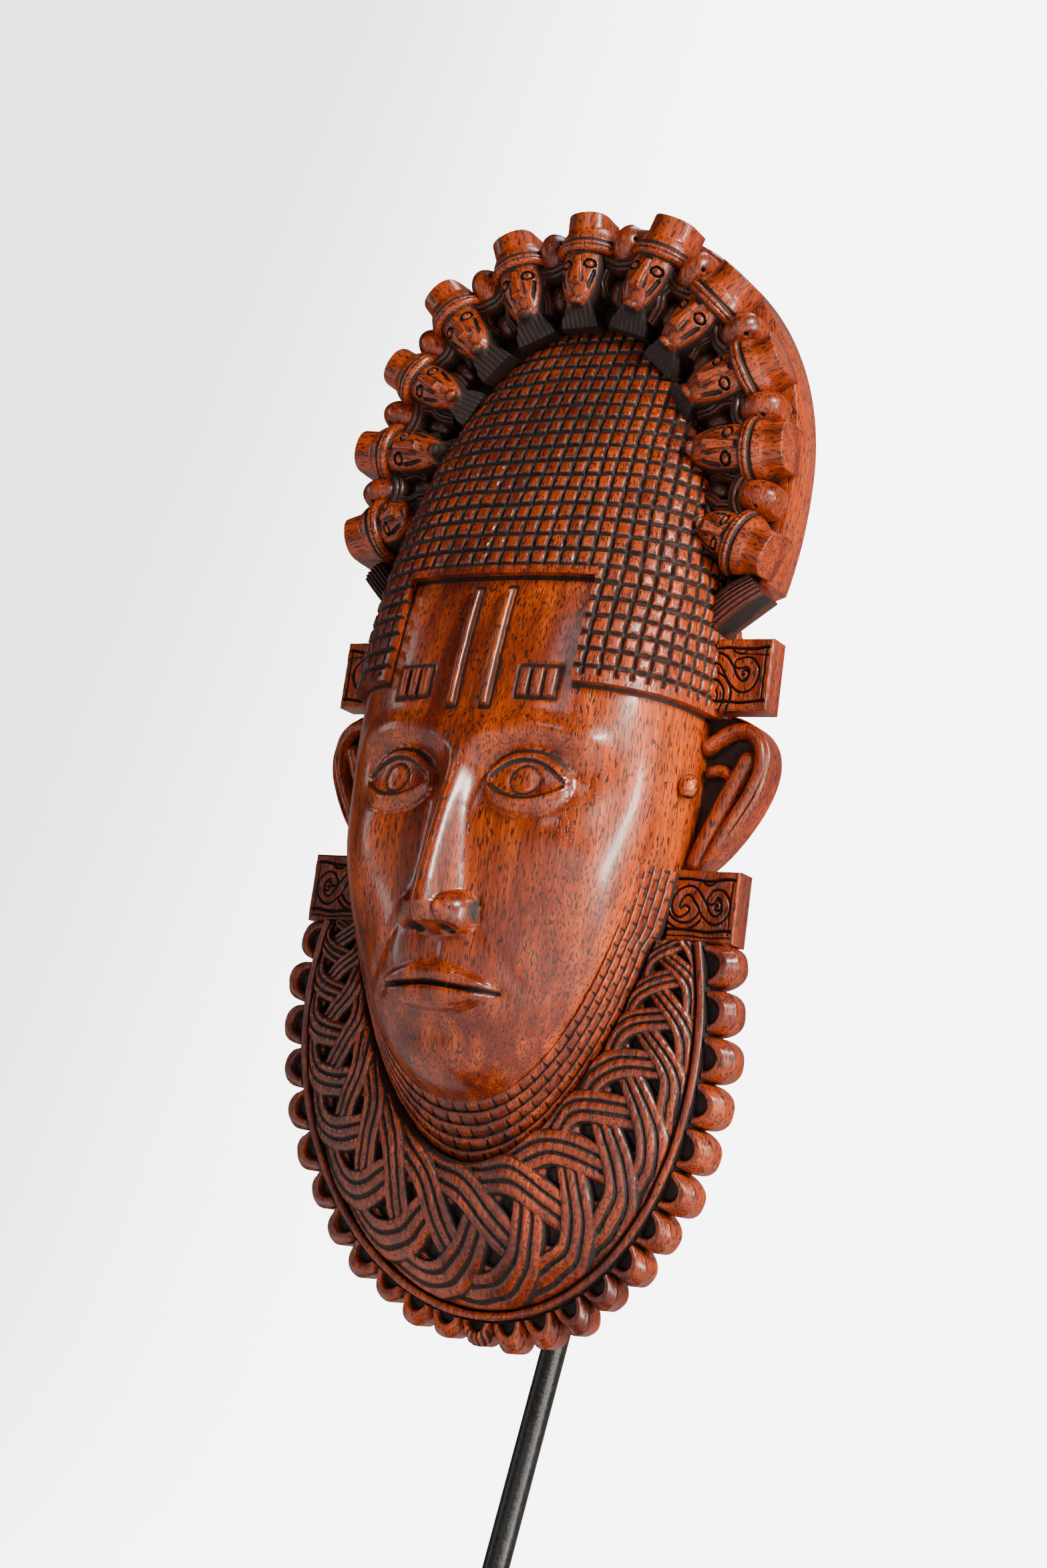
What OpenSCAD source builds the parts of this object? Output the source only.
// Carved hardwood mask with a crown of small heads, on a tilting display stand.
// Millimetres. +Z is up along the post, the mask looks along -Y, and the origin is
// the middle of the base's underside.
//
// The carving is laid out in its own upright frame: x across, y back from the front
// of the side lugs, z up from a level just under the upper lugs. hang() then leans
// that frame forward on the stand's tilt bolt.

/* [Mask] */
// Half width of the head under the cap
head_half_w = 68; // [60:1:76]
// How far the head stands in front of the lugs
head_depth = 57; // [45:1:65]
// Thickness of the carved shell
shell_wall = 9; // [6:0.5:12]
// Thickness of the netted cap over the head
cap_wall = 4.5; // [3:0.5:6]

/* [Crown] */
// Number of small heads in the crown
crown_heads = 11; // [11:1:11]
// Half width of the crown over the hats
crown_half_w = 98; // [92:1:104]
// Height of the crown's top above its centre
crown_rise = 105; // [98:1:110]
// Thickness of the crown's back plate
crown_plate = 18; // [12:1:22]

/* [Collar] */
// Half width of the plaited collar at its rim cord
collar_half_w = 84; // [78:1:90]
// Depth of the collar below its widest line
collar_drop = 106; // [96:1:112]
// Number of scallops round the collar
scallops = 25; // [21:2:29]
// Thickness of the collar board
collar_board = 13; // [10:1:16]

/* [Stand] */
// Forward lean of the mask on its stand, in degrees
lean = 16; // [0:1:22]
// Diameter of the steel post
post_d = 10; // [8:1:12]
// Height of the tilt bolt above the shelf
bolt_z = 465; // [450:5:520]
// How far the tilt bolt stands in front of the post
reach = 87; // [80:1:100]
// Side of the square base plate
base_side = 220; // [200:10:260]
// Thickness of the base plate
base_t = 10; // [8:1:14]

/* [Hidden] */
$fn = 48;
gap = 0.3;                // clear seam between carved pieces
back_y = 22;              // back plane of the head and crown
cheek_z = -5;             // level of the head's greatest width
chin_z = -138;            // bottom of the chin
dome_z = 172;             // top of the head under the cap
bow = 0.77;               // power that squares the head's level sections
side_y = 5;               // where the head's curve runs into its straight side
brow_z = 18;              // lower edge of the cap
crown_z = 115;            // centre of the crown's arc
crown_end = 106.5;        // angle of the last head each side of the top
crown_y = 4;              // front of the crown's back plate
// The crown is cut by eye: how far each head is turned from its even place, in
// degrees, and how far it stands inside the even arc, in millimetres
head_turn = [0, 1, 2, 0, -0.6, -2.2, -1.3, -0.6, 1.5, 3.6, 7.2];
head_drop = [1.6, 4, 4.2, 1, 2.4, 5, 3.6, 6.4, 6.6, 6, 0.8];
rim_z = -100;             // level of the collar's greatest width
lug_bottom = -66;         // underside of the lower lugs
collar_top = lug_bottom - gap;
pivot_back = 52;          // tilt bolt's place in the mask's own frame
pivot_up = 20;
bolt_r = 3;
bolt_head_r = 5.8;        // to the corners of its hexagon
run = 0.05;               // running clearance of pins and the post
pad_t = 2;                // felt under the base plate
post_bottom = pad_t + base_t + gap;
bend_r = 35;              // middle radius of the post's bend
arm_end = reach - 15;     // where the arm ends and the tongue starts
tongue_t = 8;
tongue_r = 8;
eye_t = 4;                // thickness of each clevis eye
eye_r = 10;
strap_t = 3;
strap_y = back_y + 0.1;
strap_half_h = 12;
strap_half_w = head_half_w - 1;
screw_r = 1.9;
screw_head_r = 3.6;
screw_up = 7;             // strap screws above and below the bolt's level
socket_h = 24;
socket_r = 15;
set_screw_z = 12;         // above the base plate
set_screw_r = 2.5;
lug_t = 10.6;
jaw_top = -41;            // upper ends of the jaw lines
jaw_bow = 1.9;            // power of the jaw's oval
jaw_grow = 14;            // depth of the jaw lines below the chin
cord_half = 1.6;
eps = 0.01;

function head_name(i) = str("crown_head_", i < 10 ? "0" : "", i);

// ---- curves -------------------------------------------------------------------

// A power that keeps the sign of its base
function spow(v, p) = sign(v) * pow(abs(v), p);

// Point at angle u, from the bottom, on an oval of half width a and half height b
function oval(a, b, zc, n, u) = [a * spow(sin(u), 2 / n), zc - b * spow(cos(u), 2 / n)];

// The angle at which that oval reaches height z
function oval_end(b, zc, n, z) = acos(spow((zc - z) / b, n / 2));

// The head's half width at height z, grown by g all round
function head_w(z, g = 0) = z >= cheek_z
  ? (head_half_w + g) * pow(1 - pow(min(1, (z - cheek_z) / (dome_z + g - cheek_z)), 2.6), 0.5)
  : (head_half_w + g)
    * pow(1 - pow(min(1, (cheek_z - z) / (cheek_z - chin_z + g)), jaw_bow), 1 / jaw_bow);

// How far the head's middle line stands in front of side_y at height z
function head_d(z, g = 0) = z >= cheek_z
  ? (head_depth + g) * pow(1 - pow(min(1, (z - cheek_z) / (dome_z + g + 4 - cheek_z)), 1.6), 0.95)
  : (head_depth + g) * pow(1 - pow(min(1, (cheek_z - z) / (cheek_z - chin_z + g)), 4), 0.5);

// Front of the head at x across and height z
function head_front(x, z) = side_y
  - head_d(z) * pow(1 - pow(abs(x) / head_w(z), 2 / bow), bow / 2);

// One level section of the head: a curved front and two straight sides to y_end
function head_ring(z, g, y_end, n) = concat(
  [[head_w(z, g), y_end, z]],
  [for (i = [0:n]) let (t = 90 - 180 * i / n)
    [head_w(z, g) * spow(sin(t), bow), side_y - head_d(z, g) * spow(cos(t), bow), z]],
  [[-head_w(z, g), y_end, z]]);

// Heights that crowd together towards both ends of a span
function levels(z0, z1, n) = [for (i = [0:n]) z0 + (z1 - z0) * (1 - cos(180 * i / n)) / 2];

// A solid lofted through rings of equal length
module loft(rings) {
  m = len(rings[0]);
  k = len(rings);
  points = [for (r = rings) each r];
  sides = [for (j = [0:k - 2], i = [0:m - 1]) let (i2 = (i + 1) % m)
    [j * m + i, j * m + i2, (j + 1) * m + i2, (j + 1) * m + i]];
  polyhedron(points, concat([[for (i = [m - 1:-1:0]) i]], sides,
    [[for (i = [0:m - 1]) (k - 1) * m + i]]), convexity = 6);
}

// The head's volume between two heights, grown by g
module head_body(z0, z1, g, y_end, n = 26, k = 22) {
  loft([for (z = levels(z0, z1, k)) head_ring(z, g, y_end, n)]);
}

// A sheet with thickness: front(s,t) and back(s,t) give its two faces for s and t in 0..1
module sheet(front, back, ns, nt) {
  loft([for (i = [0:ns]) concat(
    [for (j = [0:nt]) front(i / ns, j / nt)],
    [for (j = [nt:-1:0]) back(i / ns, j / nt)])]);
}

// ---- places -------------------------------------------------------------------

// Puts a piece of the mask on the stand
module hang() {
  translate([0, -reach, bolt_z]) rotate([lean, 0, 0]) translate([0, -pivot_back, -pivot_up])
    children();
}

// Turns a piece that is drawn with +Z outward to a place on the crown's arc
function crown_r(t) = 1 / sqrt(pow(sin(t) / crown_half_w, 2) + pow(cos(t) / crown_rise, 2));
module on_crown(t, drop) {
  translate([0, 0, crown_z]) rotate([0, t, 0]) translate([0, 0, crown_r(t) - drop]) children();
}
function head_angle(i) = -crown_end + 2 * crown_end * (i - 1) / (crown_heads - 1)
  + head_turn[i - 1];
function between_angle(i) = (head_angle(i) + head_angle(i + 1)) / 2;
function between_drop(i) = (head_drop[i - 1] + head_drop[i]) / 2;

// Keeps what stands in front of the crown's back plate
module before_plate() {
  intersection() {
    children();
    translate([-150, crown_y - gap - 100, -150]) cube([300, 100, 450]);
  }
}

// Front of the collar at its rim and at its inner edge, at height z
function rim_front(z) = -3 + 16 * pow(max(0, (lug_bottom - z) / 140), 2);
function inner_front(z) = -4 - 10 * max(0, (lug_bottom - z) / 86);

// ---- carving ------------------------------------------------------------------

module face_shell() {
  color("#a4401b") hang() {
    difference() {
      head_body(chin_z + 0.4, dome_z - 0.4, 0, back_y);
      head_body(chin_z + shell_wall + 3, dome_z - shell_wall - 3, -shell_wall, back_y + 8);
    }
    nose();
  }
}

// A plain nose wedge, so that the shell has its true outer depth
module nose() {
  hull() {
    translate([0, -54, -12]) sphere(4, $fn = 16);
    translate([0, -62, -62]) sphere(8, $fn = 16);
    translate([-12, -52, -64]) sphere(6, $fn = 16);
    translate([12, -52, -64]) sphere(6, $fn = 16);
  }
}

// The cap's lower edge steps up to a square opening over the forehead
module netted_cap() {
  cut_half_w = 39.5;
  cut_top = 59;
  color("#8c3516") hang() difference() {
    head_body(brow_z, dome_z + cap_wall - 0.5, cap_wall, back_y);
    head_body(brow_z - 2, dome_z + gap - 0.1, gap, back_y + 5);
    translate([-cut_half_w, -100, 0]) cube([2 * cut_half_w, 100, cut_top]);
  }
}

// A raised strip on the forehead that follows the head's surface
module forehead_strip(x, z0, z1, width, proud) {
  loft([for (i = [0:8]) let (z = z0 + (z1 - z0) * i / 8)
    [for (p = [[-0.5, proud], [0.5, proud], [0.5, gap], [-0.5, gap]])
      [x + p[0] * width, head_front(x + p[0] * width, z) - p[1], z]]]);
}

module forehead_bars() {
  color("#a4401b") hang() for (x = [-7, 7]) forehead_strip(x, 8, 54, 3, 2.8);
}

module forehead_panels() {
  color("#8c3516") hang() for (x = [-26, 26], k = [-1:1])
    forehead_strip(x + 5 * k, 12, 23, 4, 1.8);
}

module crown_back_plate() {
  arc = crown_end + 4;
  longer = 6;             // the arc runs on a little past the last head on the right
  steps = 32;
  seam = cap_wall + 2 * gap;
  inner = levels(63, dome_z + seam, steps);
  color("#97391a") hang() translate([0, back_y, 0]) rotate([90, 0, 0])
    linear_extrude(crown_plate)
      polygon(concat(
        [for (i = [0:60]) let (t = -arc + (2 * arc + longer) * i / 60)
          [(crown_half_w - 6) * spow(sin(t), t > 90 ? 0.6 : 1), crown_z + (crown_rise - 3) * cos(t)]],
        [for (z = inner) [head_w(z, seam), z]],
        [for (i = [steps - 1:-1:0]) [-head_w(inner[i], seam), inner[i]]]));
}

// One small head: beard, long face, hat brim and domed hat, chin towards the centre
module crown_head(i) {
  // The two end heads stop short, above the cap's side, and the more a head is
  // turned the less room it has for its beard
  beard = 5.5;
  chin = i == 1 || i == crown_heads ? -18.2
    : head_drop[i - 1] - 34.5 + 0.75 * abs(head_turn[i - 1]);
  brim = -15.5;
  brim_r = 12.3;
  face_r = 7.6;
  forward = 4.8;
  color("#9c3c19") hang() before_plate() on_crown(head_angle(i), head_drop[i - 1])
  translate([0, -forward, 0]) {
    translate([0, 0, -3]) cylinder(h = 3, r1 = 9.5, r2 = 4, $fn = 32);
    translate([0, 0, -11]) cylinder(h = 8, r1 = 11, r2 = 9.5, $fn = 32);
    translate([0, 0, brim]) cylinder(h = 4.5, r = brim_r, $fn = 32);
    translate([0, -3, chin]) cylinder(h = brim - chin, r = face_r, $fn = 32);
    translate([0, -3, chin - beard]) cylinder(h = beard, r1 = 4, r2 = face_r, $fn = 32);
  }
}

module crown_hair_bands() {
  color("#7c2f14") hang() before_plate() for (i = [1:crown_heads - 1])
    on_crown(between_angle(i), between_drop(i))
      translate([-3.4, -1, -25.5]) rotate([0, 90, 0]) cylinder(h = 6.8, r = 4, $fn = 24);
}

module crown_lobes() {
  lobe_r = 2.5;
  lobe_h = 6;
  color("#8c3516") hang() before_plate() for (i = [1:crown_heads - 1])
    on_crown(between_angle(i), between_drop(i))
      translate([0, 0, -9]) {
        cylinder(h = lobe_h, r = lobe_r, $fn = 24);
        translate([0, 0, lobe_h]) sphere(lobe_r, $fn = 24);
      }
}

// Carved beard strands that fan down from the last small head to the cap
module beard_fan(side) {
  // The last head on the right sits lower, and so does its fan
  corners = side > 0 ? [[82, 63.6], [86, 57.5], [73.6, 51], [72.2, 61]]
                     : [[84.5, 73.5], [88.5, 66], [74, 55], [72.4, 64]];
  color("#7c2f14") hang() translate([0, crown_y, 0]) rotate([90, 0, 0])
    linear_extrude(10) polygon([for (p = corners) [side * p[0], p[1]]]);
}

// The ear's outer edge: fullest near the top and drawn in to the lower lug
function ear_edge(t) = 70 + 25.4 * pow(sin(180 * pow(t, 0.6)), 0.7);
module ear(side) {
  eye_top = 17.6;
  ear_bottom = -39.5;
  color("#97391a") hang() translate([0, 15, 0]) rotate([90, 0, 0]) linear_extrude(13)
    polygon(concat([[side * (head_half_w + gap), eye_top]],
      [for (i = [1:23]) let (t = i / 24)
        [side * ear_edge(t), eye_top + (ear_bottom - eye_top) * t]],
      [[side * (head_half_w + gap), ear_bottom]]));
}

module ear_beads() {
  color("#a4401b") hang() for (s = [-1, 1])
    translate([s * (head_half_w + 5), -4, -11.7]) sphere(4.4, $fn = 32);
}

// A flat lug: a block with a sunk, bordered panel on its front
module lug(side, x_in, x_out, z0, z1, y0) {
  border = 3.2;
  color("#97391a") hang() difference() {
    translate([side > 0 ? x_in : -x_out, y0, z0]) cube([x_out - x_in, lug_t, z1 - z0]);
    translate([side > 0 ? x_in - 1 : -x_out + border, y0 - 1, z0 + border])
      cube([x_out - x_in - border + 1, 2.2, z1 - z0 - 2 * border]);
  }
}
module upper_lug(side) lug(side, head_half_w + cap_wall + gap, 93, 20, 46.5, 0);
module lower_lug(side) lug(side, 70.8, 91.6, lug_bottom, -40, -2);

// Raised lines that follow the jaw, each a little lower than the one inside it
module jaw_band() {
  lines = 5;
  function edge(f) = [for (i = [-24:24])
    let (a = head_half_w + 2 * f + gap * (1 - f),
         b = cheek_z - chin_z + jaw_grow * f + gap * (1 - f))
    oval(a, b, cheek_z, jaw_bow, oval_end(b, cheek_z, jaw_bow, jaw_top) * i / 24)];
  color("#8c3516") hang() for (k = [0:lines - 1])
    translate([0, 14, 0]) rotate([90, 0, 0]) linear_extrude(36 - 3 * k)
      polygon(concat(edge(k / lines), [for (i = [48:-1:0]) edge((k + 1) / lines)[i]]));
}

// Plan of the collar: its inner edge follows the jaw band and its outer edge the cord
function inner_edge(s) = let (a = head_half_w + 2 + gap,
  b = cheek_z - chin_z + jaw_grow + gap, e = oval_end(b, cheek_z, jaw_bow, collar_top))
  oval(a, b, cheek_z, jaw_bow, e * (2 * s - 1));
function rim_edge(s, g) = let (e = oval_end(collar_drop + g, rim_z, 2, collar_top))
  oval(collar_half_w + g, collar_drop + g, rim_z, 2, e * (2 * s - 1));

// Back of the collar board, hollowed by a hair between its edges
function board_back(z, t) = rim_front(z) + collar_board - 0.4 * sin(180 * t);

module plaited_collar() {
  cord = cord_half + gap;
  function spot(s, t) = inner_edge(s) * (1 - t) + rim_edge(s, -cord) * t;
  function bulge(t) = 5 * sin(180 * t);
  front = function (s, t) let (p = spot(s, t))
    [p[0], inner_front(p[1]) * (1 - t) + rim_front(p[1]) * t - bulge(t), p[1]];
  back = function (s, t) let (p = spot(s, t)) [p[0], board_back(p[1], t), p[1]];
  color("#8c3516") hang() sheet(front, back, 56, 7);
}

module collar_rim_cord() {
  front = function (s, t) let (p = rim_edge(s, cord_half * (2 * t - 1)))
    [p[0], rim_front(p[1]) - 1 - 1.2 * sin(180 * t), p[1]];
  back = function (s, t) let (p = rim_edge(s, cord_half * (2 * t - 1)))
    [p[0], board_back(p[1], t), p[1]];
  color("#97391a") hang() sheet(front, back, 56, 4);
}

// Rounded scallops, cut to the rim cord's outer line
module scalloped_fringe() {
  inside = cord_half + gap;
  r = 7.4;
  centre = 3.6;
  color("#97391a") hang() difference() {
    for (i = [0:scallops - 1])
      let (s = 0.016 + 0.968 * i / (scallops - 1), p = rim_edge(s, centre))
        translate([p[0], rim_front(p[1]) + collar_board, p[1]]) rotate([90, 0, 0])
          cylinder(h = collar_board - 1, r = r, $fn = 32);
    translate([0, 60, 0]) rotate([90, 0, 0]) linear_extrude(100)
      polygon([for (i = [0:80]) rim_edge(i / 80, inside)]);
    translate([-120, -50, collar_top]) cube([240, 100, 40]);
  }
}

// ---- stand --------------------------------------------------------------------

module steel(tone = "#2c2d2f") color(tone) children();

// The eyes of the clevis stand on a strap across the hollow back
module back_strap() {
  eye_x = tongue_t / 2 + gap;
  steel() hang() difference() {
    union() {
      translate([-strap_half_w, strap_y, pivot_up - strap_half_h])
        cube([2 * strap_half_w, strap_t, 2 * strap_half_h]);
      for (x = [-eye_x - eye_t, eye_x]) {
        translate([x, strap_y + strap_t - eps, pivot_up - eye_r])
          cube([eye_t, pivot_back - strap_y - strap_t + eps, 2 * eye_r]);
        translate([x, pivot_back, pivot_up]) rotate([0, 90, 0]) cylinder(h = eye_t, r = eye_r);
      }
    }
    translate([-20, pivot_back, pivot_up]) rotate([0, 90, 0])
      cylinder(h = 40, r = bolt_r + run);
    for (x = [-1, 1], z = [-1, 1]) screw_place(x, z)
      translate([0, 0, -30]) cylinder(h = 60, r = screw_r + 0.15, $fn = 32);
  }
}

// Where a screw's head meets the strap, with +Z along the screw towards its head
module screw_place(x, z) {
  translate([x * (strap_half_w - screw_head_r), strap_y + strap_t, pivot_up + z * screw_up])
    rotate([-90, 0, 0]) children();
}

// Round-head wood screws through the strap into the rim of the shell
module strap_screws() {
  color("#8b8d90") hang() for (x = [-1, 1], z = [-1, 1]) screw_place(x, z) {
    translate([0, 0, -15]) cylinder(h = 15, r = screw_r, $fn = 32);
    difference() {
      cylinder(h = 2.4, r = screw_head_r, $fn = 32);
      translate([-5, -0.5, 1.4]) cube([10, 1, 2]);
    }
  }
}

module tilt_bolt() {
  shank = tongue_t / 2 + gap + eye_t;
  color("#8b8d90") hang() translate([0, pivot_back, pivot_up]) rotate([0, 90, 0]) {
    translate([0, 0, -shank - 4]) cylinder(h = 4, r = bolt_head_r, $fn = 6);
    translate([0, 0, -shank - eps]) cylinder(h = 2 * shank + 8, r = bolt_r);
  }
}

module tilt_nut() {
  shank = tongue_t / 2 + gap + eye_t;
  color("#8b8d90") hang() translate([shank + 0.05, pivot_back, pivot_up]) rotate([0, 90, 0])
    difference() {
      union() {
        cylinder(h = 5, r = bolt_head_r, $fn = 6);
        cylinder(h = 1, r = 7);
      }
      translate([0, 0, -1]) cylinder(h = 8, r = bolt_r + run);
    }
}

// The post rises behind the mask and bends forward to carry the tongue
module post() {
  steel() {
    translate([0, 0, post_bottom]) cylinder(h = bolt_z - bend_r - post_bottom, d = post_d);
    translate([0, -bend_r, bolt_z - bend_r]) rotate([90, 0, 90])
      rotate_extrude(angle = 90) translate([bend_r, 0]) circle(d = post_d);
    translate([0, -bend_r, bolt_z]) rotate([90, 0, 0]) cylinder(h = arm_end - bend_r, d = post_d);
  }
}

module post_tongue() {
  steel("#26272a") difference() {
    union() {
      translate([-tongue_t / 2, -reach, bolt_z - tongue_r])
        cube([tongue_t, reach - arm_end - gap, 2 * tongue_r]);
      translate([-tongue_t / 2, -reach, bolt_z]) rotate([0, 90, 0])
        cylinder(h = tongue_t, r = tongue_r);
    }
    translate([-10, -reach, bolt_z]) rotate([0, 90, 0]) cylinder(h = 20, r = bolt_r + run);
  }
}

module post_socket() {
  edge = 2;
  steel() translate([0, 0, pad_t + base_t]) difference() {
    union() {
      cylinder(h = socket_h - edge, r = socket_r);
      translate([0, 0, socket_h - edge]) cylinder(h = edge, r1 = socket_r, r2 = socket_r - edge);
    }
    translate([0, 0, -1]) cylinder(h = socket_h + 2, r = post_d / 2 + run);
    translate([0, 0, set_screw_z]) rotate([-90, 0, 0]) cylinder(h = 20, r = set_screw_r + run);
  }
}

module socket_screw() {
  color("#8b8d90") translate([0, post_d / 2 + 0.4, pad_t + base_t + set_screw_z])
    rotate([-90, 0, 0]) difference() {
      union() {
        cylinder(h = 12, r = set_screw_r);
        translate([0, 0, 10.2]) cylinder(h = 5, r = 4.2);
      }
      translate([0, 0, 12]) cylinder(h = 4, r = 1.7, $fn = 6);
    }
}

module base_plate() {
  r = 6;
  c = base_side / 2 - r;
  steel() translate([0, 0, pad_t]) {
    for (x = [-c, c], y = [-c, c]) translate([x, y, 0]) cylinder(h = base_t, r = r);
    translate([-c, -c - r, 0]) cube([2 * c, 2 * (c + r), base_t]);
    translate([-c - r, -c, 0]) cube([2 * (c + r), 2 * c, base_t]);
  }
}

module base_pad() {
  s = base_side - 8;
  color("#3a3a38") translate([-s / 2, -s / 2, 0]) cube([s, s, pad_t]);
}

face_shell();
netted_cap();
forehead_bars();
forehead_panels();
crown_back_plate();
for (i = [1:crown_heads]) crown_head(i);
crown_hair_bands();
crown_lobes();
beard_fan(-1);  // beard_fan_left
beard_fan(1);  // beard_fan_right
ear(-1);  // ear_left
ear(1);  // ear_right
ear_beads();
upper_lug(-1);  // upper_lug_left
upper_lug(1);  // upper_lug_right
lower_lug(-1);  // lower_lug_left
lower_lug(1);  // lower_lug_right
jaw_band();
plaited_collar();
collar_rim_cord();
scalloped_fringe();
back_strap();
strap_screws();
tilt_bolt();
tilt_nut();
post();
post_tongue();
post_socket();
socket_screw();
base_plate();
base_pad();
